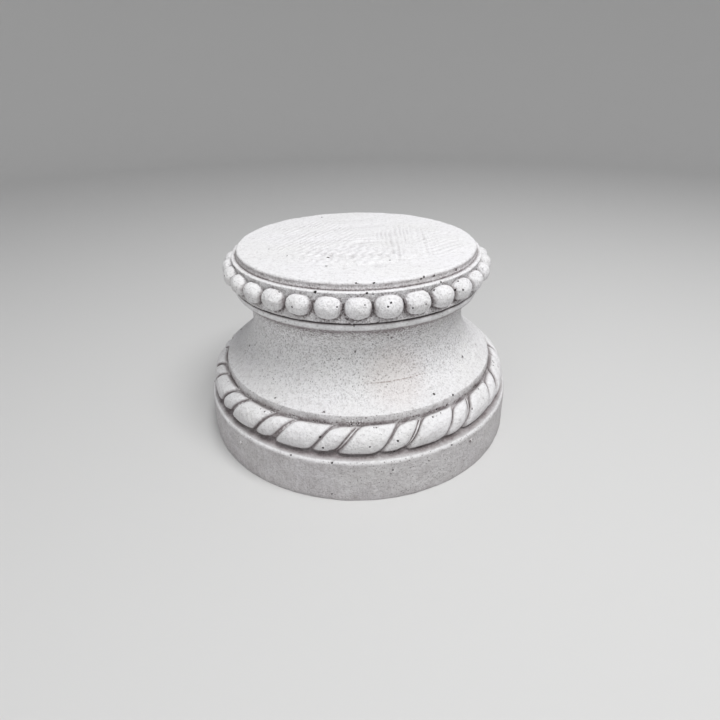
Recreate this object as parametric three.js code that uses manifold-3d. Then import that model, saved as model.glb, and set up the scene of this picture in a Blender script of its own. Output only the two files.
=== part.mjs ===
// Round cast-stone column base: plinth, rope moulding, scotia, ring of beads and a flat seat.
// Units are millimetres, +Z is up, and the origin is the middle of the underside.
import * as THREE from 'three';
import { mergeVertices } from 'three/addons/utils/BufferGeometryUtils.js';
import Module from 'manifold-3d';

// Driving dimensions
const turnedSides = 60;

const plinth = { footRadius: 175, topRadius: 173.2, height: 46.9, footEdge: 1.2, arris: 4.5 };

// The rope is a round moulding whose centre runs at radius, height. Its strands lie in pairs,
// a broad one and a narrow one, and lean by slant degrees of azimuth from foot to head.
// Azimuths are in degrees from the front, -Y, towards +X. Shoulders are shares of a strand's width.
const rope = {
  radius: 152,
  height: 58.3,
  size: 16.6,
  footAngle: -36,
  headAngle: 90,
  tuckedIn: 13,
  pairs: 16,
  firstAzimuth: -7.5,
  broadDegrees: 13.5,
  broadShoulder: 0.13,
  narrowShoulder: 0.28,
  slant: 8,
  grooveDepth: 3.2,
  shoulderDrop: 0.6,
  cornerDrop: 2.6,
  cornerShare: 0.38,
  buried: 7,
};

// The lip stands above the rope, and the scotia sweeps up from it to the neck and out again
const lip = { footRadius: 152.2, footHeight: 72, radius: 150.2, height: 82.6 };
const scotia = { neckRadius: 116.4, neckHeight: 131, lowerArc: 51.5, upperArc: 37, topHeight: 158.3 };

const band = { step: 1.7, footHeight: 158.6, topRadius: 131.6, topHeight: 165.4, bulge: 0.6 };
const crevice = { radius: 129.4, height: 166.3, topRadius: 132.4, topHeight: 167.4 };
const cove = { ledgeRadius: 132.8, ledgeHeight: 168.8, hollowRadius: 129.2, topRadius: 130.3, topHeight: 191.9 };
const beads = {
  count: 32,
  firstAzimuth: 0.5,
  ringRadius: 131.8,
  height: 181.6,
  across: 12.1,
  tall: 9.7,
  deep: 9.4,
  sides: 10,
  rings: 5,
};
const fillet = { radius: 130.6, topHeight: 194.4, creaseRadius: 126.4, creaseHeight: 194.8 };
const seat = { radius: 125.1, height: 201.4, arris: 1.5 };

const stoneColour = 0xd6d3d1;

const { degToRad, radToDeg, clamp } = THREE.MathUtils;

// Points of a round stretch of the profile, with angles in degrees: 0 points out and 90 up
function arc(radius, height, size, from, to, steps) {
  return Array.from({ length: steps + 1 }, (_, i) => {
    const angle = degToRad(from + ((to - from) * i) / steps);
    return [radius + size * Math.cos(angle), height + size * Math.sin(angle)];
  });
}

// Points from one place to another that leave the straight line by bulge at the middle
function bow([radius0, height0], [radius1, height1], bulge, steps) {
  const length = Math.hypot(radius1 - radius0, height1 - height0);
  const outwards = [(height1 - height0) / length, (radius0 - radius1) / length];
  return Array.from({ length: steps + 1 }, (_, i) => {
    const along = i / steps;
    const off = bulge * Math.sin(Math.PI * along);
    return [
      radius0 + (radius1 - radius0) * along + outwards[0] * off,
      height0 + (height1 - height0) * along + outwards[1] * off,
    ];
  });
}

function plinthProfile() {
  const { footRadius, topRadius, height, footEdge, arris } = plinth;
  return [
    [0, 0],
    [footRadius - footEdge, 0],
    [footRadius, 3 * footEdge],
    ...arc(topRadius - arris, height - arris, arris, 0, 85, 2),
    // The strip inside the arris runs under the rope
    [rope.radius + rope.size * Math.cos(degToRad(rope.footAngle)), height + arris / 3],
    [rope.radius, height + arris],
  ];
}

function scotiaProfile() {
  const { neckRadius, neckHeight, lowerArc, upperArc, topHeight } = scotia;
  const lipAngle = 180 + radToDeg(Math.asin((neckHeight - lip.height) / lowerArc));
  const topAngle = 180 - radToDeg(Math.asin((topHeight - neckHeight) / upperArc));
  return [
    [lip.footRadius, lip.footHeight],
    [lip.radius, lip.height],
    ...arc(neckRadius + lowerArc, neckHeight, lowerArc, lipAngle, 180, 5).slice(1),
    ...arc(neckRadius + upperArc, neckHeight, upperArc, 180, topAngle, 3).slice(1),
  ];
}

function capProfile() {
  const bandFoot = scotiaProfile().at(-1)[0] + band.step;
  const slabEdge = arc(seat.radius - seat.arris, seat.height - seat.arris, seat.arris, 0, 90, 2);
  const { ledgeRadius, ledgeHeight, hollowRadius, topRadius, topHeight } = cove;
  const hollow = hollowRadius - (ledgeRadius + topRadius) / 2;
  return [
    ...bow([bandFoot, band.footHeight], [band.topRadius, band.topHeight], band.bulge, 2),
    [crevice.radius, crevice.height],
    [crevice.topRadius, crevice.topHeight],
    ...bow([ledgeRadius, ledgeHeight], [topRadius, topHeight], hollow, 3),
    [fillet.radius, fillet.topHeight],
    [fillet.creaseRadius, fillet.creaseHeight],
    ...slabEdge,
    [0, seat.height],
  ];
}

// Everything but the rope and the beads is one turned shape
function turnedGeometry() {
  const profile = [...plinthProfile(), ...scotiaProfile(), ...capProfile()];
  const geometry = new THREE.LatheGeometry(profile.map(([r, z]) => new THREE.Vector2(r, z)), turnedSides);
  return geometry.rotateX(Math.PI / 2);
}

// The columns of one strand, by where they stand and how far they lie under its crown.
// The broad strand is flat-topped, and the narrow one is round.
function broadStrand(from, width) {
  const shoulder = width * rope.broadShoulder;
  return [
    { azimuth: from, drop: rope.grooveDepth, side: 0 },
    { azimuth: from + shoulder, drop: rope.shoulderDrop, side: -1 },
    { azimuth: from + width / 2, drop: 0, side: 0 },
    { azimuth: from + width - shoulder, drop: rope.shoulderDrop, side: 1 },
  ];
}

function narrowStrand(from, width) {
  const shoulder = width * rope.narrowShoulder;
  return [
    { azimuth: from, drop: rope.grooveDepth, side: 0 },
    { azimuth: from + shoulder, drop: rope.shoulderDrop, side: -1 },
    { azimuth: from + width - shoulder, drop: rope.shoulderDrop, side: 1 },
  ];
}

// One turn of the section: even steps where it shows and for a little way under the turned shape,
// then two steps through the inside, where it is hidden
function ropeSection() {
  const from = rope.footAngle - rope.tuckedIn;
  const to = rope.headAngle + rope.tuckedIn;
  const steps = 6;
  const shown = Array.from({ length: steps + 1 }, (_, i) => ({ angle: from + ((to - from) * i) / steps }));
  const third = (360 + from - to) / 3;
  return [...shown, { angle: to + third, hidden: true }, { angle: to + 2 * third, hidden: true }];
}

// A strand is cut back at its two blunt corners: the left one at the head, the right one at the foot
function cornerDrop(side, along) {
  const near = side < 0 ? along : 1 - along;
  const inCorner = clamp((near - 1 + rope.cornerShare) / rope.cornerShare, 0, 1);
  return side === 0 ? 0 : rope.cornerDrop * inCorner ** 2;
}

function ropeGeometry() {
  const pitch = 360 / rope.pairs;
  const columns = [
    ...broadStrand(0, rope.broadDegrees),
    ...narrowStrand(rope.broadDegrees, pitch - rope.broadDegrees),
  ];
  const section = ropeSection();
  const across = section.length;
  const around = columns.length * rope.pairs;
  const geometry = new THREE.TorusGeometry(rope.radius, rope.size, across, around);
  const { position, uv } = geometry.attributes;
  for (let i = 0; i < position.count; i += 1) {
    const step = Math.round(uv.getX(i) * around) % around;
    const column = columns[step % columns.length];
    const { angle, hidden } = section[Math.round(uv.getY(i) * across) % across];
    const along = hidden ? 0.5 : (angle - rope.footAngle) / (rope.headAngle - rope.footAngle);
    const turn = Math.floor(step / columns.length) * pitch + rope.slant * along;
    const azimuth = degToRad(rope.firstAzimuth + column.azimuth + turn);
    const size = rope.size - (hidden ? rope.buried : column.drop + cornerDrop(column.side, along));
    const radius = rope.radius + size * Math.cos(degToRad(angle));
    const height = rope.height + size * Math.sin(degToRad(angle));
    position.setXYZ(i, radius * Math.sin(azimuth), -radius * Math.cos(azimuth), height);
  }
  return geometry;
}

function beadGeometry(index) {
  const geometry = new THREE.SphereGeometry(1, beads.sides, beads.rings);
  const azimuth = degToRad(beads.firstAzimuth + (index * 360) / beads.count);
  return geometry
    .scale(beads.across, beads.deep, beads.tall)
    .translate(0, -beads.ringRadius, beads.height)
    .rotateZ(azimuth);
}

const wasm = await Module();
wasm.setup();

function solidOf(geometry) {
  geometry.deleteAttribute('normal');
  geometry.deleteAttribute('uv');
  const merged = mergeVertices(geometry, 1e-4);
  const vertProperties = new Float32Array(merged.attributes.position.array);
  const triVerts = new Uint32Array(merged.index.array);
  return new wasm.Manifold(new wasm.Mesh({ numProp: 3, vertProperties, triVerts }));
}

function geometryOf(solid) {
  const { vertProperties, triVerts } = solid.getMesh();
  const geometry = new THREE.BufferGeometry();
  geometry.setAttribute('position', new THREE.BufferAttribute(vertProperties, 3));
  geometry.setIndex(new THREE.BufferAttribute(triVerts, 1));
  geometry.computeVertexNormals();
  return geometry;
}

// The base is cast in one piece, so its mouldings are joined into one body
let cast = solidOf(turnedGeometry()).add(solidOf(ropeGeometry()));
for (let index = 0; index < beads.count; index += 1) {
  cast = cast.add(solidOf(beadGeometry(index)));
}

const stone = new THREE.MeshStandardMaterial({ color: stoneColour, roughness: 0.9, metalness: 0 });
const columnBase = new THREE.Mesh(geometryOf(cast), stone);
columnBase.name = 'column_base';

const group = new THREE.Group();
group.add(columnBase);

export default group;
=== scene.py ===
import math
import random

import bmesh
import bpy
from mathutils import Matrix, Vector, noise
from mathutils.bvhtree import BVHTree


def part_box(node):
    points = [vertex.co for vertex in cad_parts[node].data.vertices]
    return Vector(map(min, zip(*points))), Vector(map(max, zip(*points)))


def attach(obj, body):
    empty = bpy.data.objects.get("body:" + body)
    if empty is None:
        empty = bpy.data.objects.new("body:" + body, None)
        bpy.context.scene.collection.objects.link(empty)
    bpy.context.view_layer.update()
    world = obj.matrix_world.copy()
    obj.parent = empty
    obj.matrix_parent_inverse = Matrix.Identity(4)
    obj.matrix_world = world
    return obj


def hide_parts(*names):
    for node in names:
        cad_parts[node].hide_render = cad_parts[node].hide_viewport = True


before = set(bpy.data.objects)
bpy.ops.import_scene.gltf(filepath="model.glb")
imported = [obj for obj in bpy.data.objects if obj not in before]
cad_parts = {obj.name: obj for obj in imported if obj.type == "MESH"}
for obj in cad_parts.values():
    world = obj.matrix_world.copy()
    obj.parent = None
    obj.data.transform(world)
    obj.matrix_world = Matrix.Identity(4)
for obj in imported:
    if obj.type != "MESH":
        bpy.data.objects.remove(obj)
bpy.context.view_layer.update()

# A round cast-stone column base: plinth, rope moulding, scotia, ring of beads and a flat seat.
# Azimuths are in degrees from the front, -Y, towards +X. Round sizes are (radius, height) pairs.
cadHigh = Vector(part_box("column_base")[1])
mm = 0.001
plinthRadius = cadHigh.x
seatHeight = cadHigh.z
touching = 1e-5                  # metres; points closer than this are in one place
wellOutside = 0.3                # metres from the axis, where rays at the stone start
luck = random.Random(11)


# Small helpers

def clearSelection():
    if bpy.context.object and bpy.context.object.mode != "OBJECT":
        bpy.ops.object.mode_set(mode="OBJECT")
    bpy.ops.object.select_all(action="DESELECT")


def pick(piece):
    clearSelection()
    piece.select_set(True)
    bpy.context.view_layer.objects.active = piece


def settle(piece):
    pick(piece)
    bpy.ops.object.transform_apply(location=True, rotation=True, scale=True)


def selectVerts(piece, test):
    # in edit mode: leaves only the vertices that pass the test selected
    bm = bmesh.from_edit_mesh(piece.data)
    bm.select_mode = {"VERT"}
    for vert in bm.verts:
        vert.select = test(vert.co)
    bm.select_flush_mode()
    bmesh.update_edit_mesh(piece.data)


def applyModifier(piece, kind, **settings):
    pick(piece)
    bpy.ops.object.modifier_add(type=kind)
    modifier = piece.modifiers[-1]
    for name, value in settings.items():
        setattr(modifier, name, value)
    bpy.ops.object.modifier_apply(modifier=modifier.name)


def roughen(body, clouds):
    # each cloud is the size of its swellings and their height from trough to crest
    for size, height in clouds:
        texture = bpy.data.textures.new(f"unevenness_{round(size / mm)}", "CLOUDS")
        texture.noise_scale = size
        applyModifier(body, "DISPLACE", texture=texture, texture_coords="LOCAL", strength=height,
                      mid_level=0.5)


def joinAll(pieces, name):
    clearSelection()
    for piece in pieces:
        piece.select_set(True)
    bpy.context.view_layer.objects.active = pieces[0]
    bpy.ops.object.join()
    pieces[0].name = name
    return pieces[0]


def ringCopies(piece, count, first, name):
    # the model becomes the first copy, and the others have their own meshes
    copies = []
    for index in range(count):
        copy = piece if index == 0 else piece.copy()
        if index:
            copy.data = model.copy()
            bpy.context.collection.objects.link(copy)
        else:
            model = piece.data.copy()
        copy.name = f"{name}_{index + 1}"
        copy.data.transform(Matrix.Rotation(math.radians(first + index * 360 / count), 4, "Z"))
        copies.append(copy)
    bpy.data.meshes.remove(model)
    return copies


def markPart(piece, name, value):
    # on face corners, so that the mark ends sharply where two parts meet
    layer = piece.data.attributes.new(name, "FLOAT", "CORNER")
    layer.data.foreach_set("value", [value] * len(layer.data))


def setLayer(piece, name, values):
    layer = piece.data.attributes.new(name, "FLOAT", "POINT")
    layer.data.foreach_set("value", values)


def arc(radius, height, size, start, end, steps):
    # angles in degrees: 0 points out and 90 points up
    angles = [math.radians(start + (end - start) * step / steps) for step in range(steps + 1)]
    return [(radius + size * math.cos(angle), height + size * math.sin(angle)) for angle in angles]


def bow(start, end, bulge, steps):
    # a shallow curve that leaves the straight line by bulge at its middle
    length = math.dist(start, end)
    across = ((end[1] - start[1]) / length, (start[0] - end[0]) / length)
    points = []
    for step in range(steps + 1):
        share = step / steps
        off = bulge * math.sin(math.pi * share)
        points.append(tuple(a + (b - a) * share + n * off for a, b, n in zip(start, end, across)))
    return points


def evenSteps(points, longest):
    # puts more points on the long straight runs
    result = [points[0]]
    for start, end in zip(points, points[1:]):
        count = max(1, math.ceil(math.dist(start, end) / longest))
        for step in range(1, count + 1):
            result.append(tuple(a + (b - a) * step / count for a, b in zip(start, end)))
    return result


# The turned body: everything but the strands and the beads

plinth = {
    "topRadius": plinthRadius - 1.8 * mm,
    "height": 46.9 * mm,
    "footEdge": 1.2 * mm,
    "arris": 4.5 * mm,
    "stripInset": 1 * mm,        # the strip under the rope stops this far inside its crown
    "stripRise": 0.9 * mm,
    "underRings": (1, 0.75, 0.5, 0.25),
    "underside": 3 * mm,         # what lies lower than this, inside the foot's edge, is made flat
}
rope = {
    "radius": 152 * mm,          # where the middle of the rope's section runs
    "height": 58.3 * mm,
    "size": 16.6 * mm,           # to the crown of a strand
    "core": 12.6 * mm,           # to the bottom of the grooves
    "coreAngles": (-42, 82),
    "footAngle": -36,
    "headAngle": 90,
    "pairs": 16,
    "firstAzimuth": -7.5,
    "slant": 8,                  # degrees of azimuth from foot to head
}
lip = {
    "footRadius": 152.2 * mm,
    "footRise": 0.8 * mm,        # above the rope's core
    "radius": 150.2 * mm,
    "height": 82.6 * mm,
    "edge": 1.2 * mm,
    "swell": 0.4 * mm,
}
scotia = {
    "neckRadius": 116.4 * mm,
    "neckHeight": 131 * mm,
    "lower": 51.5 * mm,          # the two arcs' own radii
    "upper": 37 * mm,
    "top": 158.3 * mm,
    "under": 3,                  # degrees by which the lower arc starts under the lip's edge
}
band = {"step": 1.7 * mm, "foot": 158.6 * mm, "topRadius": 131.6 * mm, "top": 165.4 * mm, "bulge": 0.6 * mm}
crevice = {"radius": 128.8 * mm, "height": 166.2 * mm, "topRadius": 132.4 * mm, "top": 167.5 * mm}
cove = {
    "ledgeRadius": 132.8 * mm,
    "ledge": 168.8 * mm,
    "hollow": 129.2 * mm,
    "topRadius": 130.3 * mm,
    "top": 193 * mm,
}
fillet = {
    "radius": 130.6 * mm,
    "top": 194.5 * mm,
    "round": 0.9 * mm,
    "creaseRadius": 126.2 * mm,
    "crease": 194.8 * mm,
}
seat = {
    "radius": 125.1 * mm,
    "arris": 2.3 * mm,
    "footOut": 0.3 * mm,         # where the slab's side meets the crease
    "footRise": 0.7 * mm,
    "sideBulge": -0.5 * mm,
    "ringStep": 1.5 * mm,
    "skin": 1.5 * mm,            # the float reached only what lies this close to the top
}
turned = {"segments": 320, "longest": 2.6 * mm}


def lowerProfile():
    edge, arris = plinth["footEdge"], plinth["arris"]
    footOut = rope["radius"] + rope["size"] * math.cos(math.radians(rope["footAngle"]))
    return [
        *arc(plinthRadius - edge, edge, edge, -90, 0, 2),
        *arc(plinth["topRadius"] - arris, plinth["height"] - arris, arris, 0, 82, 6),
        (footOut - plinth["stripInset"], plinth["height"] + plinth["stripRise"]),
        *arc(rope["radius"], rope["height"], rope["core"], *rope["coreAngles"], 10),
        (lip["footRadius"], rope["height"] + rope["core"] + lip["footRise"]),
    ]


def middleProfile():
    lipAngle = 180 + math.degrees(math.asin((scotia["neckHeight"] - lip["height"]) / scotia["lower"]))
    topAngle = 180 - math.degrees(math.asin((scotia["top"] - scotia["neckHeight"]) / scotia["upper"]))
    lowerCentre = scotia["neckRadius"] + scotia["lower"]
    upperCentre = scotia["neckRadius"] + scotia["upper"]
    edge = lip["edge"]
    return [
        *arc(lip["radius"] - edge + lip["swell"], lip["height"] - edge, edge, 10, 75, 3),
        *arc(lowerCentre, scotia["neckHeight"], scotia["lower"], lipAngle - scotia["under"], 180, 24),
        *arc(upperCentre, scotia["neckHeight"], scotia["upper"], 180, topAngle, 12)[1:],
    ]


def capProfile():
    bandFoot = middleProfile()[-1][0] + band["step"]
    hollow = cove["hollow"] - (cove["ledgeRadius"] + cove["topRadius"]) / 2
    return [
        *bow((bandFoot, band["foot"]), (band["topRadius"], band["top"]), band["bulge"], 4),
        (crevice["radius"], crevice["height"]),
        (crevice["topRadius"], crevice["top"]),
        *bow((cove["ledgeRadius"], cove["ledge"]), (cove["topRadius"], cove["top"]), hollow, 12),
        *arc(fillet["radius"] - fillet["round"], fillet["top"] - fillet["round"], fillet["round"],
             -10, 80, 4),
        (fillet["creaseRadius"], fillet["crease"]),
        *bow((fillet["creaseRadius"] + seat["footOut"], fillet["crease"] + seat["footRise"]),
             (seat["radius"], seatHeight - seat["arris"]), seat["sideBulge"], 3),
        *arc(seat["radius"] - seat["arris"], seatHeight - seat["arris"], seat["arris"], 8, 90, 6),
    ]


def closeDisc(rings, height):
    # from a selected ring inwards, with the last ring merged at the axis
    for radius, inner in zip(rings, rings[1:]):
        bpy.ops.mesh.extrude_region_move(TRANSFORM_OT_translate={"value": (0, 0, 0)})
        bpy.ops.transform.resize(value=(inner / radius, inner / radius, 1), center_override=(0, 0, height))
    bpy.ops.mesh.extrude_region_move(TRANSFORM_OT_translate={"value": (0, 0, 0)})
    bpy.ops.mesh.merge(type="CENTER")


def turnBody():
    profile = evenSteps(lowerProfile() + middleProfile() + capProfile(), turned["longest"])
    clearSelection()
    bpy.ops.mesh.primitive_circle_add(vertices=turned["segments"], radius=profile[0][0])
    body = bpy.context.object
    body.name = "column_base_stone"
    bpy.ops.object.mode_set(mode="EDIT")
    bpy.ops.mesh.select_all(action="SELECT")
    for (radius, height), (nextRadius, nextHeight) in zip(profile, profile[1:]):
        rise = (0, 0, nextHeight - height)
        grow = nextRadius / radius
        bpy.ops.mesh.extrude_region_move(TRANSFORM_OT_translate={"value": rise})
        bpy.ops.transform.resize(value=(grow, grow, 1), center_override=(0, 0, nextHeight))
    topRadius = profile[-1][0]
    rings = math.floor(topRadius / seat["ringStep"])
    closeDisc([topRadius * (1 - step / rings) for step in range(rings)], seatHeight)
    footRadius = profile[0][0]
    selectVerts(body, lambda co: abs(co.z) < touching)
    closeDisc([footRadius * share for share in plinth["underRings"]], 0)
    bpy.ops.mesh.select_all(action="SELECT")
    bpy.ops.mesh.normals_make_consistent(inside=False)
    bpy.ops.object.mode_set(mode="OBJECT")
    return body


# The rope's strands, modelled flat, then laid round the rope's section

broadStrand = {
    "from": 0,                   # degrees from the start of its pair
    "degrees": 13.5,
    "gap": 0.8 * mm,
    "edgeDrop": 2.6 * mm,
    "edgeReach": 4.6 * mm,
    "headCut": 1.8 * mm,         # how far the blunt corners at the head and the foot are drawn in
    "footCut": 3.2 * mm,
    "bluntDrop": 1.2 * mm,
    "bluntReach": 11 * mm,
    "sink": 0,
    "across": 18,
    "rubbed": 1,                 # how clean handling has rubbed it, from 0 to 1
    "worn": (),                  # the pairs in which it is worn away
}
narrowStrand = {
    "from": 13.5,
    "degrees": 8,
    "gap": 0.7 * mm,
    "edgeDrop": 3.0 * mm,
    "edgeReach": 7 * mm,
    "headCut": 5.0 * mm,
    "footCut": 4.0 * mm,
    "bluntDrop": 1.6 * mm,
    "bluntReach": 12 * mm,
    "sink": 0.3 * mm,
    "across": 14,
    "rubbed": 0.9,
    "worn": (),
}
threadStrand = {
    "from": 21.4,
    "degrees": 1.1,
    "gap": 0.15 * mm,
    "edgeDrop": 0.5 * mm,
    "edgeReach": 1.4 * mm,
    "headCut": 0.4 * mm,
    "footCut": 0.4 * mm,
    "bluntDrop": 0.3 * mm,
    "bluntReach": 2 * mm,
    "sink": 3.3 * mm,            # a thin thread lies low in the groove beside each narrow strand
    "across": 4,
    "rubbed": 0,
    "worn": (5, 9, 12, 13, 14),
}
strandRows = 18
strandRoot = 5 * mm


def pull(value, reach, falloff="SHARP"):
    # moves what is selected, and draws its surroundings along
    bpy.ops.transform.translate(value=value, use_proportional_edit=True,
                                proportional_edit_falloff=falloff, proportional_size=reach)


def modelStrand(name, strand):
    outerRadius = rope["radius"] + rope["size"]
    turn = math.radians(rope["headAngle"] - rope["footAngle"])
    height = turn * rope["size"]
    width = math.radians(strand["degrees"]) * outerRadius - 2 * strand["gap"]
    lean = math.radians(rope["slant"]) * outerRadius
    clearSelection()
    bpy.ops.mesh.primitive_grid_add(x_subdivisions=strand["across"], y_subdivisions=strandRows, size=1)
    piece = bpy.context.object
    piece.name = name
    piece.scale = (width, height, 1)
    piece.location = (width / 2 + strand["gap"], height / 2, -strand["sink"])
    settle(piece)
    bpy.ops.object.mode_set(mode="EDIT")
    for row in range(strandRows + 1):
        share = row / strandRows
        selectVerts(piece, lambda co: abs(co.y - share * height) < touching)
        bpy.ops.transform.translate(value=(lean * share, 0, 0))
    # the two blunt corners are drawn in and lowered, which leaves the sharp ones as tips
    left, right = strand["gap"], strand["gap"] + width
    head, foot = Vector((left + lean, height)), Vector((right, 0))
    for corner, cut in ((head, strand["headCut"]), (foot, -strand["footCut"])):
        selectVerts(piece, lambda co: (co.xy - corner).length < touching)
        pull((cut, 0, -strand["bluntDrop"]), strand["bluntReach"])
    # the rim rolls down into the grooves
    bpy.ops.mesh.select_all(action="SELECT")
    bpy.ops.mesh.region_to_loop()
    pull((0, 0, -strand["edgeDrop"]), strand["edgeReach"])
    # the root closes the strand under the surface
    bpy.ops.mesh.extrude_region_move(TRANSFORM_OT_translate={"value": (0, 0, -strandRoot)})
    bpy.ops.mesh.edge_face_add()
    bpy.ops.mesh.select_all(action="SELECT")
    bpy.ops.mesh.normals_make_consistent(inside=False)
    bpy.ops.object.mode_set(mode="OBJECT")
    layOnRope(piece, rope["firstAzimuth"] + strand["from"])
    return piece


def layOnRope(piece, azimuth):
    # x runs round the ring, y up the section and z out of the rope
    outerRadius = rope["radius"] + rope["size"]
    for vert in piece.data.vertices:
        around = math.radians(azimuth) + vert.co.x / outerRadius
        angle = math.radians(rope["footAngle"]) + vert.co.y / rope["size"]
        size = rope["size"] + vert.co.z
        radius = rope["radius"] + size * math.cos(angle)
        height = rope["height"] + size * math.sin(angle)
        vert.co = (radius * math.sin(around), -radius * math.cos(around), height)


def makeRope():
    strands = []
    for name, strand in (("broad", broadStrand), ("narrow", narrowStrand), ("thread", threadStrand)):
        model = modelStrand(name, strand)
        markPart(model, "proud", strand["rubbed"])
        for pair, copy in enumerate(ringCopies(model, rope["pairs"], 0, name)):
            if pair in strand["worn"]:
                bpy.data.objects.remove(copy)
            else:
                strands.append(copy)
    return joinAll(strands, "rope")


# The beads

bead = {
    "count": 32,
    "firstAzimuth": 0.5,
    "ringRadius": 131.8 * mm,
    "height": 181.6 * mm,
    "across": 11.9 * mm,
    "tall": 9.6 * mm,
    "deep": 9.4 * mm,
    "crownDrop": 0.09,           # shares of the bead
    "crownReach": 0.8,
    "squareness": 0.08,
    "sizeSpread": 0.03,
    "swollen": (1, 2, 3),        # these came out of the mould larger
    "swelling": 1.06,
    "turnSpread": 0.25,          # degrees
    "dents": ((6 * mm, 1.0 * mm),),
    "rubbed": 0.55,
}


def modelBead():
    clearSelection()
    bpy.ops.mesh.primitive_uv_sphere_add(segments=32, ring_count=18, radius=1)
    piece = bpy.context.object
    bpy.ops.object.mode_set(mode="EDIT")
    # the crown is pressed down a little where the cove overhangs it
    selectVerts(piece, lambda co: co.z > 1 - touching)
    pull((0, 0, -bead["crownDrop"]), bead["crownReach"], "SMOOTH")
    bpy.ops.object.mode_set(mode="OBJECT")
    applyModifier(piece, "CAST", cast_type="CUBOID", factor=bead["squareness"])
    piece.scale = (bead["across"], bead["deep"], bead["tall"])
    piece.location = (0, -bead["ringRadius"], bead["height"])
    settle(piece)
    return piece


def makeBeads():
    beads = ringCopies(modelBead(), bead["count"], bead["firstAzimuth"], "bead")
    # hand-finished beads are not quite alike
    for index, piece in enumerate(beads):
        centre = sum((vert.co for vert in piece.data.vertices), Vector()) / len(piece.data.vertices)
        swelling = bead["swelling"] if index in bead["swollen"] else 1
        grow = Matrix.Scale(swelling * (1 + luck.uniform(-1, 1) * bead["sizeSpread"]), 4)
        turn = Matrix.Rotation(math.radians(luck.uniform(-1, 1) * bead["turnSpread"]), 4, "Z")
        piece.data.transform(turn @ Matrix.Translation(centre) @ grow @ Matrix.Translation(-centre))
    ring = joinAll(beads, "beads")
    roughen(ring, bead["dents"])
    return ring


# Casting marks: bug holes left by air, crumbs, and an uneven surface

# Places of the larger bug holes on the front, read in pixels of the 720 x 720 picture
holePixels = (
    (279, 292), (337, 307), (336, 309), (365, 305), (389, 299), (391, 303), (388, 307), (413, 308),
    (411, 310), (426, 304), (434, 290), (435, 303), (458, 281), (463, 290), (455, 290), (367, 293),
    (373, 294), (441, 282), (374, 283), (356, 283), (421, 279), (424, 277), (434, 276), (456, 270),
    (315, 292), (292, 307), (286, 301), (434, 394), (429, 461), (332, 463), (332, 494), (275, 398),
    (370, 447), (323, 448), (398, 441), (394, 451), (355, 352), (339, 359), (357, 361), (394, 454),
    (472, 409), (324, 412), (366, 418), (452, 445), (320, 437), (235, 436), (291, 455), (393, 470),
    (391, 474), (453, 395), (378, 322), (404, 329), (388, 335), (391, 338), (390, 261), (322, 217),
    (269, 249), (287, 256), (328, 258), (326, 266), (354, 326), (353, 332), (354, 337),
)
pictureSide = 720
holes = {
    "size": 1.05 * mm,
    "spread": (0.75, 1.25),      # shares of the size
    "sunk": 0.35,                # how far a hole's middle lies under the surface, in its own sizes
    "apart": 1.4,                # how far two holes keep from each other, in their sizes
    "scattered": 80,             # smaller ones, on the sides and the back
    "azimuths": (55, 305),
    "heights": (4 * mm, seatHeight - 2 * mm),
    "smallest": 0.5 * mm,
    "largest": 1.1 * mm,
}
chips = {
    "count": 200,
    "heights": (73.6 * mm, 75.4 * mm),
    "sizes": (0.45 * mm, 0.95 * mm),
    "sunk": 0.3,
}
crumbs = {
    "lumpPixels": ((471, 440), (241, 442)),
    "lump": 1.6 * mm,
    "seamPixels": ((349, 321), (352, 323), (355, 321)),
    "seam": 1.3 * mm,
    "count": 9,
    "azimuths": (-3.5, 1.5),
    "heights": (73.5 * mm, 77 * mm),
    "size": 0.9 * mm,
    "spread": (0.6, 1.2),
    "crowding": 0.8,             # they may touch a little
}
lumpShape = {"stretch": (0.75, 1.3), "turn": (0, 3)}


def outerPoint(tree, azimuth, height):
    # where a level ray towards the axis meets the stone
    turn = math.radians(azimuth)
    outwards = Vector((math.sin(turn), -math.cos(turn), 0))
    start = outwards * wellOutside + Vector((0, 0, height))
    hit, normal, face, distance = tree.ray_cast(start, -outwards)
    return hit, normal


def pixelPoint(tree, camera, pixel):
    # where the camera's ray through a pixel meets the stone
    focal = camera.data.lens / camera.data.sensor_width * pictureSide
    aim = Vector((pixel[0] - pictureSide / 2, pictureSide / 2 - pixel[1], -focal)).normalized()
    eye = camera.matrix_world
    hit, normal, face, distance = tree.ray_cast(eye.translation, eye.to_3x3() @ aim)
    return hit, normal


def addLump(place, size):
    bpy.ops.mesh.primitive_ico_sphere_add(subdivisions=1, radius=size, location=place)
    lump = bpy.context.object
    lump.scale = [luck.uniform(*lumpShape["stretch"]) for axis in range(3)]
    lump.rotation_euler = [luck.uniform(*lumpShape["turn"]) for axis in range(3)]
    return lump


def lumpsAt(places, name):
    clearSelection()
    lumps = [addLump(place, size) for place, size in places]
    for lump in lumps:
        lump.select_set(True)
    bpy.ops.object.transform_apply(location=True, rotation=True, scale=True)
    return joinAll(lumps, name)


def apart(places, place, size):
    gap = holes["apart"]
    return all((place - other).length > gap * (size + otherSize) for other, otherSize in places)


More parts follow.
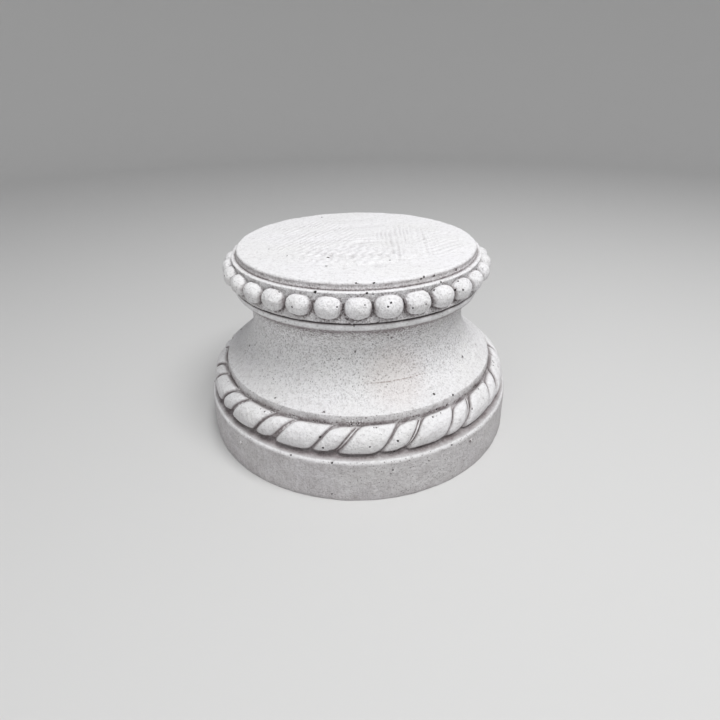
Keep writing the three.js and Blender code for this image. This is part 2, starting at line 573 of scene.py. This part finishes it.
def makeHoles(body, camera):
    tree = BVHTree.FromObject(body, bpy.context.evaluated_depsgraph_get())
    places = []
    for pixel in holePixels:
        hit, normal = pixelPoint(tree, camera, pixel)
        size = holes["size"] * luck.uniform(*holes["spread"])
        if hit is not None and apart(places, hit, size):
            places.append((hit - normal * size * holes["sunk"], size))
    fixed = len(places)
    while len(places) < fixed + holes["scattered"]:
        hit, normal = outerPoint(tree, luck.uniform(*holes["azimuths"]), luck.uniform(*holes["heights"]))
        size = holes["smallest"] + (holes["largest"] - holes["smallest"]) * luck.uniform(0, 1) ** 2
        if hit is not None and apart(places, hit, size):
            places.append((hit - normal * size * holes["sunk"], size))
    # the crumbly joint between the rope's head and the lip
    for chip in range(chips["count"]):
        hit, normal = outerPoint(tree, luck.uniform(0, 360), luck.uniform(*chips["heights"]))
        size = luck.uniform(*chips["sizes"])
        if hit is not None and apart(places, hit, size):
            places.append((hit - normal * size * chips["sunk"], size))
    return lumpsAt(places, "holes")


def makeCrumbs(body, camera):
    # two lumps on the plinth's side, and stray mortar where the mould's seam crossed the crevice and the rope
    tree = BVHTree.FromObject(body, bpy.context.evaluated_depsgraph_get())
    places = [(pixelPoint(tree, camera, pixel)[0], crumbs["lump"]) for pixel in crumbs["lumpPixels"]]
    places += [(pixelPoint(tree, camera, pixel)[0], crumbs["seam"]) for pixel in crumbs["seamPixels"]]
    fixed = len(places)
    while len(places) < fixed + crumbs["count"]:
        hit, normal = outerPoint(tree, luck.uniform(*crumbs["azimuths"]), luck.uniform(*crumbs["heights"]))
        size = crumbs["size"] * luck.uniform(*crumbs["spread"])
        if apart(places, hit, size * crumbs["crowding"]):
            places.append((hit, size))
    lumps = lumpsAt(places, "crumbs")
    markPart(lumps, "proud", 1)
    return lumps


def joinSolid(body, other, operation):
    applyModifier(body, "BOOLEAN", operation=operation, solver="MANIFOLD", object=other)
    bpy.data.objects.remove(other)


def levelFoot(body):
    # the casting stands flat
    for vert in body.data.vertices:
        inside = vert.co.xy.length < plinthRadius - 2 * plinth["footEdge"]
        vert.co.z = 0 if inside and vert.co.z < plinth["underside"] else max(0, vert.co.z)


# The seat was floated by hand. Each patch of strokes has its centre and half sizes in mm, the strokes'
# lean from the line of sight in degrees, and their pitch, length and height in mm.

strokes = (
    {"centre": (52, -8), "reach": (36, 68), "lean": 2, "pitch": 4.8, "length": 120, "height": 0.65},
    {"centre": (-54, 20), "reach": (56, 66), "lean": 28, "pitch": 6, "length": 44, "height": 0.6},
    {"centre": (-10, -50), "reach": (60, 34), "lean": 15, "pitch": 9, "length": 9, "height": 0.7},
    {"centre": (84, -12), "reach": (28, 50), "lean": 50, "pitch": 7, "length": 26, "height": 0.55},
    {"centre": (3, -4), "reach": (24, 14), "lean": 84, "pitch": 13, "length": 30, "height": 1.1},
    {"centre": (0, 0), "reach": (112, 112), "lean": 70, "pitch": 34, "length": 60, "height": 0.22},
)
# How far strokes wander, in radians, how their depth changes, and over how many pitches they do so
strokeChange = {"wander": 4, "wanderPitches": 3, "depth": 0.75, "depthSpread": 0.8, "depthPitches": 2}
# The float went round the rim last, a little lower, and left a ragged edge at the front. Sizes in mm.
rimPass = {
    "radius": 82,
    "ragged": 7,
    "raggedSize": 9,
    "step": 0.9,
    "edge": 2.4,
    "tear": 0.8,
    "tearSize": 12,
    "tearShare": 0.3,            # more than 0 leaves more of the edge torn
    "pitch": 4.4,
    "height": 0.2,
    "steadying": 4,              # the rings wander less than the edge by this factor
}


def strokeRelief(spot, number, patch):
    off = spot - Vector(patch["centre"])
    share = max(0, 1 - (off.x / patch["reach"][0]) ** 2 - (off.y / patch["reach"][1]) ** 2)
    lean = math.radians(patch["lean"])
    along = (off.x * math.sin(lean) + off.y * math.cos(lean)) / patch["length"]
    across = (off.x * math.cos(lean) - off.y * math.sin(lean)) / patch["pitch"]
    wander = noise.noise((across / strokeChange["wanderPitches"], along, number))
    unlike = noise.noise((across / strokeChange["depthPitches"], along * 2, number + 0.5))
    depth = strokeChange["depth"] + strokeChange["depthSpread"] * unlike
    wave = math.sin(math.tau * across + strokeChange["wander"] * wander)
    return wave * depth * share ** 0.5 * patch["height"]


def rimRelief(spot):
    front = max(0, -spot.y / spot.length) if spot.length else 0
    size, tearSize = rimPass["raggedSize"], rimPass["tearSize"]
    wander = noise.noise((spot.x / size, spot.y / size, 0)) * rimPass["ragged"]
    inside = (rimPass["radius"] + wander - spot.length) / rimPass["edge"]
    step = min(1, max(0, inside)) * rimPass["step"]
    tearing = max(0, rimPass["tearShare"] + noise.noise((spot.x / tearSize, spot.y / tearSize, 1)))
    torn = max(0, 1 - abs(inside)) * tearing * rimPass["tear"]
    turns = (spot.length + wander / rimPass["steadying"]) / rimPass["pitch"]
    rings = math.sin(math.tau * turns) * rimPass["height"] if inside < -1 else 0
    return front * (step - torn + rings)


def floatSeat(body):
    # the colour is made darker in the strokes' hollows, so how deep they are is kept as a mark too
    depths = []
    for vert in body.data.vertices:
        spot = vert.co.xy / mm
        inside = vert.co.xy.length < seat["radius"] - seat["arris"]
        stroked, relief = 0, 0
        if inside and vert.co.z > seatHeight - seat["skin"]:
            stroked = sum(strokeRelief(spot, *patch) for patch in enumerate(strokes))
            relief = stroked + rimRelief(spot)
        vert.co.z += relief * mm
        depths.append(min(stroked, relief))
    setLayer(body, "floated", depths)


# What the patina and the painted shade need to know of each point: how deep it lies in a crease or a hollow,
# how steep it is, and whether it is on a strand or a bead, where handling has rubbed the stone clean

# rays that measure how closed in each point is; the grey that follows them is painted shade in creases and
# hollows, with dirt
shelter = {"rays": 20, "near": 4 * mm, "far": 26 * mm, "lift": 0.15 * mm}

# Where the wash of dirt and painted shade is made thicker or thinner by height: from and to what height, by
# how much, and over how wide an edge that fades out
shadeAndWashBands = (
    # painted shade at the plinth's foot, against the light thrown up from the floor
    (0, 6 * mm, 0.06, 12 * mm),
    # the strip under the rope: painted shade under its overhang, and dirt
    (plinth["height"] - 0.4 * mm, plinth["height"] + 2.2 * mm, 0.3, 0.4 * mm),
    (71 * mm, lip["height"] - 1 * mm, -0.12, 0.4 * mm),
    (lip["height"] + 2 * mm, 96 * mm, 0.06, 12 * mm),
    (8 * mm, plinth["height"] - 8 * mm, -0.05, 4 * mm),
    (112 * mm, 140 * mm, -0.43, 24 * mm),
    # painted shadow of the cap on the top of the scotia
    (152 * mm, scotia["top"], 0.2, 14 * mm),
    # painted shadow under the band's foot
    (scotia["top"] - 3 * mm, band["foot"] + 0.2 * mm, 0.5, 5 * mm),
    (band["foot"] + 0.2 * mm, band["top"] - 0.5 * mm, -0.85, 0.2 * mm),
    (crevice["top"] + 0.5 * mm, bead["height"] + 3 * mm, -0.35, 2 * mm),
    (bead["height"] + 5 * mm, cove["top"], -0.85, 2 * mm),
    (fillet["crease"], seatHeight - 2.4 * mm, 0.08, 0.6 * mm),
)

# How grainy the dirt is, in the same way
grimes = (
    (6 * mm, plinth["height"] - 8 * mm, 0.15, 6 * mm),
    (72 * mm, lip["height"], 0.15, 1 * mm),
    (100 * mm, 146 * mm, 0.6, 20 * mm),
    (116 * mm, 146 * mm, 0.5, 14 * mm),
    (crevice["top"], cove["top"], 0.65, 1 * mm),
    (fillet["crease"], seatHeight - 3 * mm, 0.3, 1 * mm),
)


def amountAt(rows, height):
    total = 0
    for low, high, amount, edge in rows:
        outside = max(low - height, height - high, 0)
        total += amount * max(0, 1 - outside / edge)
    return total


def skyRays(count):
    # spread over a half sphere, more of them towards its top, always the same
    rays = []
    for index in range(count):
        tilt = math.asin(math.sqrt((index + 0.5) / count))
        turn = index * math.pi * (3 - math.sqrt(5))
        level = math.sin(tilt)
        rays.append(Vector((level * math.cos(turn), level * math.sin(turn), math.cos(tilt))))
    return rays


def markHollows(body):
    tree = BVHTree.FromObject(body, bpy.context.evaluated_depsgraph_get())
    rays = skyRays(shelter["rays"])
    near, far = shelter["near"], shelter["far"]
    creases, hollows = [], []
    for vert in body.data.vertices:
        turn = vert.normal.to_track_quat("Z", "Y").to_matrix()
        start = vert.co + vert.normal * shelter["lift"]
        distances = [tree.ray_cast(start, turn @ ray, far)[3] for ray in rays]
        met = [distance for distance in distances if distance is not None]
        creases.append(sum(max(0, 1 - distance / near) for distance in met) / len(rays))
        hollows.append(sum(1 - distance / far for distance in met) / len(rays))
    setLayer(body, "crease", creases)
    setLayer(body, "hollow", hollows)
    setLayer(body, "slope", [vert.normal.z for vert in body.data.vertices])
    setLayer(body, "bandShadeAndWash", [amountAt(shadeAndWashBands, vert.co.z) for vert in body.data.vertices])
    setLayer(body, "grime", [amountAt(grimes, vert.co.z) for vert in body.data.vertices])


# Materials

rust = {"height": 101.4 * mm, "width": 0.5 * mm, "middle": (36 * mm, -118 * mm, 104 * mm), "reach": 38 * mm}
finish = {
    "clean": ("#f2f1f5", "#ebebe9"),       # a pair of colours drifts from one to the other
    # greys for the dirt and for the painted shade on steep faces and in hollows
    "dirtAndShade": ("#857a7e", "#8b8583"),
    "packedAndShaded": "#2b2826",
    "grains": "#615c5c",
    "blots": "#a19b99",
    "pinpricks": "#57514f",
    "rustLine": "#6e564c",
    "rustPatch": "#c9b2a6",
    "brushWidth": 2.4 * mm,
    "brushLength": 26 * mm,
    "prickSpacing": 2.8 * mm,
    "roughness": 0.92,
    "specular": 0.3,
}
# The grit is drawn at 1.6 mm, coarser than life, so that it shows
noiseSizes = {"cloud": 70 * mm, "mottle": 16 * mm, "grain": 4.2 * mm, "grit": 1.6 * mm}
layerNames = ("crease", "hollow", "slope", "bandShadeAndWash", "grime", "floated", "proud", "pit")


def linear(hexColour):
    # sRGB hex to the linear values that shaders use
    parts = [int(hexColour[index:index + 2], 16) / 255 for index in (1, 3, 5)]
    return tuple(p / 12.92 if p <= 0.04045 else ((p + 0.055) / 1.055) ** 2.4 for p in parts) + (1,)


def addNode(tree, kind, sockets, **settings):
    # a socket, by name or by number, takes a value or the node that feeds it
    node = tree.nodes.new(kind)
    for name, value in settings.items():
        setattr(node, name, value)
    for name, value in sockets.items():
        if isinstance(name, int):
            socket = node.inputs[name]
        else:
            socket = [each for each in node.inputs if each.enabled and each.name == name][0]
        if isinstance(value, bpy.types.Node):
            value = [output for output in value.outputs if output.enabled][0]
        if isinstance(value, bpy.types.NodeSocket):
            tree.links.new(value, socket)
        else:
            socket.default_value = value
    return node


def grimeAmount(tree, layers, noises):
    # grimy in patches, and only where nothing has rubbed
    plain = addNode(tree, "ShaderNodeMapRange", {
        "Value": layers["proud"], "From Min": 0.0, "From Max": 0.9, "To Min": 1.0, "To Max": 0.0})
    inPatches = addNode(tree, "ShaderNodeMapRange", {
        "Value": noises["cloud"], "From Min": 0.42, "From Max": 0.58, "To Min": 1.35, "To Max": 0.55})
    onPlain = addNode(tree, "ShaderNodeMath", {0: plain, 1: inPatches}, operation="MULTIPLY")
    return addNode(tree, "ShaderNodeMath", {0: layers["grime"], 1: onPlain}, operation="MULTIPLY")


def dirtAndShadeAmount(tree, layers, noises, kept, grimy):
    # painted shade and dirt together: strong on steep plain faces, which face away from the light above, and
    # in hollows, rubbed off strands and beads
    steep = addNode(tree, "ShaderNodeMapRange", {
        "Value": layers["slope"], "From Min": 0.8, "From Max": 0.05, "To Min": 0.0, "To Max": 0.55})
    steepShadeAndDirt = addNode(tree, "ShaderNodeMath", {0: steep, 1: kept}, operation="MULTIPLY")
    # painted shade and dirt in hollows and creases
    inHollow = addNode(tree, "ShaderNodeMapRange", {
        "Value": layers["hollow"], "From Min": 0.05, "From Max": 0.4, "To Min": 0.0, "To Max": 0.85})
    inCrease = addNode(tree, "ShaderNodeMapRange", {
        "Value": layers["crease"], "From Min": 0.08, "From Max": 0.5, "To Min": 0.0, "To Max": 1.0})
    hollowShadeAndDirt = addNode(tree, "ShaderNodeMath", {0: inHollow, 1: inCrease}, operation="MAXIMUM")
    either = addNode(tree, "ShaderNodeMath", {0: steepShadeAndDirt, 1: hollowShadeAndDirt}, operation="ADD")
    # painted shade and wash set by height
    bandShadeAndWash = addNode(tree, "ShaderNodeMath", {0: layers["bandShadeAndWash"], 1: kept}, operation="MULTIPLY")
    # darker in the strokes' hollows on the seat
    inStrokes = addNode(tree, "ShaderNodeMapRange", {
        "Value": layers["floated"], "From Min": -0.02, "From Max": -0.7, "To Min": 0.0, "To Max": 0.26})
    strokesToo = addNode(tree, "ShaderNodeMath", {0: either, 1: inStrokes}, operation="ADD")
    evenDirtAndShade = addNode(tree, "ShaderNodeMath", {0: strokesToo, 1: bandShadeAndWash}, operation="ADD", use_clamp=True)
    patchy = addNode(tree, "ShaderNodeMapRange", {
        "Value": noises["mottle"], "From Min": 0.3, "From Max": 0.7, "To Min": 0.75, "To Max": 1.1})
    brushed = addNode(tree, "ShaderNodeMapRange", {
        "Value": noises["streaks"], "From Min": 0.3, "From Max": 0.7, "To Min": 0.88, "To Max": 1.08})
    soft = addNode(tree, "ShaderNodeMath", {0: patchy, 1: brushed}, operation="MULTIPLY")
    grainy = addNode(tree, "ShaderNodeMapRange", {
        "Value": noises["grit"], "From Min": 0.35, "From Max": 0.65, "To Min": -0.8, "To Max": 0.8})
    coarse = addNode(tree, "ShaderNodeMath", {0: grainy, 1: grimy}, operation="MULTIPLY")
    uneven = addNode(tree, "ShaderNodeMath", {0: soft, 1: coarse}, operation="ADD")
    return addNode(tree, "ShaderNodeMath", {0: evenDirtAndShade, 1: uneven}, operation="MULTIPLY", use_clamp=True)


def stoneWithDirtAndShade(tree, noises, dirtAndShade):
    # clean stone mixed towards the greys of the dirt and the painted shade
    clean = addNode(tree, "ShaderNodeMix", {
        "Factor": noises["cloud"], "A": linear(finish["clean"][0]), "B": linear(finish["clean"][1])},
        data_type="RGBA")
    dirt = addNode(tree, "ShaderNodeMix", {
        "Factor": noises["cloud"], "A": linear(finish["dirtAndShade"][0]), "B": linear(finish["dirtAndShade"][1])},
        data_type="RGBA")
    return addNode(tree, "ShaderNodeMix", {"Factor": dirtAndShade, "A": clean, "B": dirt}, data_type="RGBA")


def packedDirtAndShade(tree, layers, noises, stone):
    # black in the tightest creases and in the bug holes: painted shade there, with dirt packed in
    packedAndShaded = addNode(tree, "ShaderNodeMapRange", {
        "Value": layers["crease"], "From Min": 0.35, "From Max": 0.6, "To Min": 0.0, "To Max": 0.9})
    broken = addNode(tree, "ShaderNodeMapRange", {
        "Value": noises["grain"], "From Min": 0.35, "From Max": 0.55, "To Min": 0.25, "To Max": 1.0})
    patches = addNode(tree, "ShaderNodeMath", {0: packedAndShaded, 1: broken}, operation="MULTIPLY")
    blackest = addNode(tree, "ShaderNodeMath", {0: patches, 1: layers["pit"]}, operation="MAXIMUM")
    return addNode(tree, "ShaderNodeMix", {
        "Factor": blackest, "A": stone, "B": linear(finish["packedAndShaded"])}, data_type="RGBA")


def grainsAndBlots(tree, noises, grimy, stone):
    # grains of dirt, thickest on the grimy stretches
    grains = addNode(tree, "ShaderNodeMapRange", {
        "Value": noises["grit"], "From Min": 0.5, "From Max": 0.68, "To Min": 0.0, "To Max": 1.0})
    where = addNode(tree, "ShaderNodeMapRange", {
        "Value": grimy, "From Min": 0.0, "From Max": 1.0, "To Min": 0.14, "To Max": 0.7})
    speckle = addNode(tree, "ShaderNodeMath", {0: grains, 1: where}, operation="MULTIPLY")
    stone = addNode(tree, "ShaderNodeMix", {
        "Factor": speckle, "A": stone, "B": linear(finish["grains"])}, data_type="RGBA")
    # soft grime in blots of a few millimetres
    blots = addNode(tree, "ShaderNodeMapRange", {
        "Value": noises["grain"], "From Min": 0.5, "From Max": 0.72, "To Min": 0.0, "To Max": 0.3})
    return addNode(tree, "ShaderNodeMix", {
        "Factor": blots, "A": stone, "B": linear(finish["blots"])}, data_type="RGBA")


def pinpricks(tree, layers, noises, kept, dots, stone):
    # close together in some patches of the plain faces and missing in others
    patch = addNode(tree, "ShaderNodeMapRange", {
        "Value": noises["cloud"], "From Min": 0.42, "From Max": 0.58, "To Min": 0.1, "To Max": 0.62})
    pricked = addNode(tree, "ShaderNodeMath", {0: dots, 1: patch}, operation="MULTIPLY")
    steepOnly = addNode(tree, "ShaderNodeMapRange", {
        "Value": layers["slope"], "From Min": 0.95, "From Max": 0.7, "To Min": 0.15, "To Max": 1.0})
    plainOnly = addNode(tree, "ShaderNodeMath", {0: steepOnly, 1: kept}, operation="MULTIPLY")
    marks = addNode(tree, "ShaderNodeMath", {0: pricked, 1: plainOnly}, operation="MULTIPLY")
    return addNode(tree, "ShaderNodeMix", {
        "Factor": marks, "A": stone, "B": linear(finish["pinpricks"])}, data_type="RGBA")


def rustyLine(tree, place, noises, stone):
    # a faint line runs level round the front of the scotia, in a rusty patch
    level = addNode(tree, "ShaderNodeSeparateXYZ", {"Vector": place})
    onLevel = addNode(tree, "ShaderNodeMath", {
        0: level.outputs["Z"], 1: rust["height"], 2: rust["width"]}, operation="COMPARE")
    fromMiddle = addNode(tree, "ShaderNodeVectorMath", {0: place, 1: rust["middle"]}, operation="DISTANCE")
    near = addNode(tree, "ShaderNodeMapRange", {
        "Value": fromMiddle.outputs["Value"], "From Min": rust["reach"], "From Max": 0.5 * rust["reach"],
        "To Min": 0.0, "To Max": 1.0})
    onLine = addNode(tree, "ShaderNodeMath", {0: onLevel, 1: near}, operation="MULTIPLY")
    dotted = addNode(tree, "ShaderNodeMapRange", {
        "Value": noises["grit"], "From Min": 0.4, "From Max": 0.6, "To Min": 0.05, "To Max": 0.6})
    faint = addNode(tree, "ShaderNodeMath", {0: onLine, 1: dotted}, operation="MULTIPLY")
    stone = addNode(tree, "ShaderNodeMix", {
        "Factor": faint, "A": stone, "B": linear(finish["rustLine"])}, data_type="RGBA")
    stained = addNode(tree, "ShaderNodeMath", {0: near, 1: 0.16}, operation="MULTIPLY")
    return addNode(tree, "ShaderNodeMix", {
        "Factor": stained, "A": stone, "B": linear(finish["rustPatch"])}, data_type="RGBA")


def surfaceGrain(tree, layers, noises, dots):
    # the seat was floated smooth, so it is less grainy than the cast faces
    strength = addNode(tree, "ShaderNodeMapRange", {
        "Value": layers["slope"], "From Min": 0.9, "From Max": 0.99, "To Min": 1.0, "To Max": 0.4})
    fine = addNode(tree, "ShaderNodeBump", {
        "Height": noises["grit"], "Strength": strength, "Distance": 0.5 * mm})
    brush = addNode(tree, "ShaderNodeBump", {
        "Height": noises["streaks"], "Normal": fine, "Strength": 0.3, "Distance": 0.4 * mm})
    broad = addNode(tree, "ShaderNodeBump", {
        "Height": noises["grain"], "Normal": brush, "Strength": strength, "Distance": 2.0 * mm})
    return addNode(tree, "ShaderNodeBump", {
        "Height": dots, "Normal": broad, "Strength": 0.6, "Distance": 0.4 * mm}, invert=True)


def castStone():
    # reconstituted stone, white cement and marble dust cast in a mould: chalky and matt,
    # pale where it is rubbed, with a grey wash on steep faces and in the hollows that is dirt and painted
    # shade together
    material = bpy.data.materials.new("cast_stone")
    material.use_nodes = True
    tree = material.node_tree
    place = addNode(tree, "ShaderNodeTexCoord", {}).outputs["Object"]
    layers = {}
    for name in layerNames:
        layers[name] = addNode(tree, "ShaderNodeAttribute", {}, attribute_name=name).outputs["Fac"]
    noises = {}
    for name, size in noiseSizes.items():
        noises[name] = addNode(tree, "ShaderNodeTexNoise", {
            "Vector": place, "Scale": 1 / size, "Detail": 3.0, "Roughness": 0.65})
    # brush marks run up and down the steep faces
    across, along = 1 / finish["brushWidth"], 1 / finish["brushLength"]
    upright = addNode(tree, "ShaderNodeMapping", {"Vector": place, "Scale": (across, across, along)})
    noises["streaks"] = addNode(tree, "ShaderNodeTexNoise", {
        "Vector": upright, "Scale": 1.0, "Detail": 2.0, "Roughness": 0.6})
    cells = addNode(tree, "ShaderNodeTexVoronoi", {
        "Vector": place, "Scale": 1 / finish["prickSpacing"]}, feature="F1")
    dots = addNode(tree, "ShaderNodeMapRange", {
        "Value": cells.outputs["Distance"],
        "From Min": 0.26, "From Max": 0.14, "To Min": 0.0, "To Max": 1.0})
    # how much of the dirt and painted shade stays where handling has not rubbed the stone clean
    kept = addNode(tree, "ShaderNodeMapRange", {
        "Value": layers["proud"], "From Min": 0.0, "From Max": 1.0, "To Min": 1.0, "To Max": 0.45})
    grimy = grimeAmount(tree, layers, noises)
    dirtAndShade = dirtAndShadeAmount(tree, layers, noises, kept, grimy)
    stone = stoneWithDirtAndShade(tree, noises, dirtAndShade)
    stone = packedDirtAndShade(tree, layers, noises, stone)
    stone = grainsAndBlots(tree, noises, grimy, stone)
    stone = pinpricks(tree, layers, noises, kept, dots, stone)
    stone = rustyLine(tree, place, noises, stone)
    normal = surfaceGrain(tree, layers, noises, dots)
    shader = tree.nodes["Principled BSDF"]
    tree.links.new(stone.outputs[2], shader.inputs["Base Color"])
    tree.links.new(normal.outputs["Normal"], shader.inputs["Normal"])
    shader.inputs["Roughness"].default_value = finish["roughness"]
    shader.inputs["Specular IOR Level"].default_value = finish["specular"]
    return material


# Putting it together

unevenness = ((40 * mm, 1.0 * mm), (11 * mm, 0.7 * mm), (4.5 * mm, 0.4 * mm))
smoothAngle = 45


def makeStone(camera):
    body = turnBody()
    ring, beads = makeRope(), makeBeads()
    markPart(body, "proud", 0)
    markPart(beads, "proud", bead["rubbed"])
    joinSolid(body, ring, "UNION")
    joinSolid(body, beads, "UNION")
    print("body, rope and beads joined:", len(body.data.vertices), "points")
    joinSolid(body, makeCrumbs(body, camera), "UNION")
    bugHoles = makeHoles(body, camera)
    markPart(bugHoles, "pit", 1)
    joinSolid(body, bugHoles, "DIFFERENCE")
    roughen(body, unevenness)
    levelFoot(body)
    floatSeat(body)
    applyModifier(body, "TRIANGULATE")
    print("surface roughened:", len(body.data.polygons), "triangles")
    markHollows(body)
    pick(body)
    bpy.ops.object.shade_smooth_by_angle(angle=math.radians(smoothAngle))
    body.data.materials.clear()
    body.data.materials.append(castStone())
    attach(body, "root")
    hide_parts("column_base")
    print("stone finished")
    return body


# Camera, floor and light

view = {
    "place": (0.0021, -0.4868, 0.3408),
    "lookDown": 30.59,
    "roll": 0.87,
    "lens": 23.09,
    "sensor": 36,
}


def addCamera():
    clearSelection()
    bpy.ops.object.camera_add(location=view["place"])
    camera = bpy.context.object
    camera.data.lens = view["lens"]
    camera.data.sensor_width = view["sensor"]
    tilt = Matrix.Rotation(math.radians(90 - view["lookDown"]), 4, "X")
    roll = Matrix.Rotation(math.radians(-view["roll"]), 4, "Z")
    camera.matrix_world = Matrix.Translation(view["place"]) @ tilt @ roll
    bpy.context.scene.camera = camera
    return camera


floorShape = {
    "flat": 2.2,
    "sweep": 0.9,
    "wall": 1.2,
    "sides": 96,
    "sweepSteps": 12,
    "colour": "#d6d6d5",
    "roughness": 0.9,
}


def addFloor():
    # matt studio paper, a round sheet that curves up far away on all sides
    clearSelection()
    bpy.ops.mesh.primitive_circle_add(
        vertices=floorShape["sides"], radius=floorShape["flat"], fill_type="NGON")
    floor = bpy.context.object
    floor.name = "floor"
    bpy.ops.object.mode_set(mode="EDIT")
    bpy.ops.mesh.select_all(action="SELECT")
    bpy.ops.mesh.region_to_loop()
    flat, sweep = floorShape["flat"], floorShape["sweep"]
    path = arc(flat, sweep, sweep, -90, 0, floorShape["sweepSteps"])
    path.append((flat + sweep, sweep + floorShape["wall"]))
    for (radius, height), (nextRadius, nextHeight) in zip(path, path[1:]):
        bpy.ops.mesh.extrude_region_move(TRANSFORM_OT_translate={"value": (0, 0, nextHeight - height)})
        grow = nextRadius / radius
        bpy.ops.transform.resize(value=(grow, grow, 1), center_override=(0, 0, nextHeight))
    bpy.ops.object.mode_set(mode="OBJECT")
    bpy.ops.object.shade_smooth()
    paper = bpy.data.materials.new("studio_paper")
    paper.use_nodes = True
    shader = paper.node_tree.nodes["Principled BSDF"]
    shader.inputs["Base Color"].default_value = linear(floorShape["colour"])
    shader.inputs["Roughness"].default_value = floorShape["roughness"]
    floor.data.materials.append(paper)


lamps = (
    {"name": "key", "place": (0.48, -0.53, 1.75), "size": 0.9, "power": 24.8},
    {"name": "fill", "place": (-0.7, -1.85, 0.9), "size": 1.6, "power": 8.0},
)
lampAim = (0, 0, 0.1)
sky = {"colour": "#eeeef1", "strength": 0.4}


def addLamps():
    for lamp in lamps:
        bpy.ops.object.light_add(type="AREA", location=lamp["place"])
        light = bpy.context.object
        light.name = lamp["name"]
        light.data.size = lamp["size"]
        light.data.energy = lamp["power"]
        aim = Vector(lampAim) - Vector(lamp["place"])
        light.rotation_euler = aim.to_track_quat("-Z", "Y").to_euler()
    world = bpy.data.worlds.new("studio")
    world.use_nodes = True
    background = world.node_tree.nodes["Background"]
    background.inputs["Color"].default_value = linear(sky["colour"])
    background.inputs["Strength"].default_value = sky["strength"]
    bpy.context.scene.world = world
    bpy.context.scene.view_settings.view_transform = "Standard"


stoneCamera = addCamera()
makeStone(stoneCamera)
addFloor()
addLamps()
print("floor and lamps placed")
